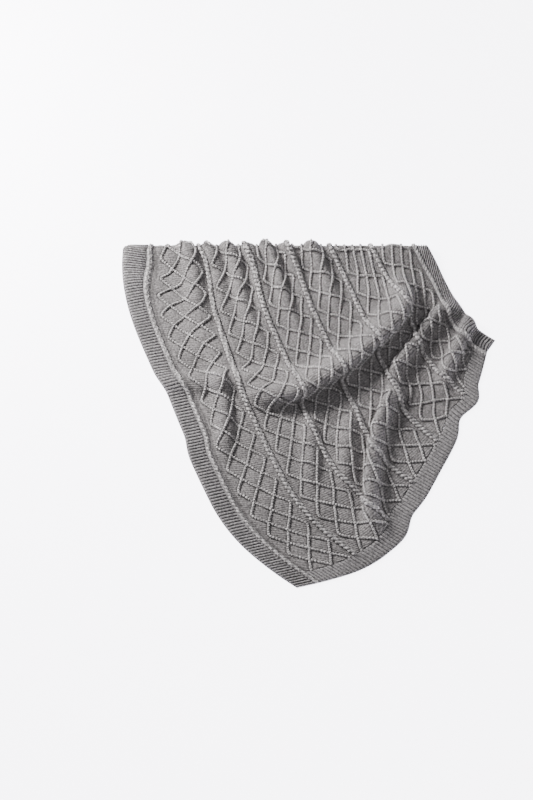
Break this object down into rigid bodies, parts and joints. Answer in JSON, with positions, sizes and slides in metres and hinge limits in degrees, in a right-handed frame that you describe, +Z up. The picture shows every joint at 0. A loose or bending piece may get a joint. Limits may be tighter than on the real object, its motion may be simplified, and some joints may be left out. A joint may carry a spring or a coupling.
{
  "type": "knitted throw blanket",
  "caption": "Grey cable-knit throw with diamond lattice, rope cables and ribbed borders, laid out with soft folds and its far part turned under.",
  "frame": {"origin": "centre of the throw's plan, on the surface it lies on", "axes": "+Z up; the near corner points along -Y, the turned-under top edge runs along X at +Y"},
  "size_m": [1.4, 1.3874, 0.0882],
  "materials": {
    "panel_knit": "matt heathered yarn",
    "band_knit": "matt heathered yarn"
  },
  "bodies": {
    "root": {"main_panel": "panel_knit", "side_band_left": "band_knit", "side_band_right": "band_knit"}
  },
  "joints": []
}
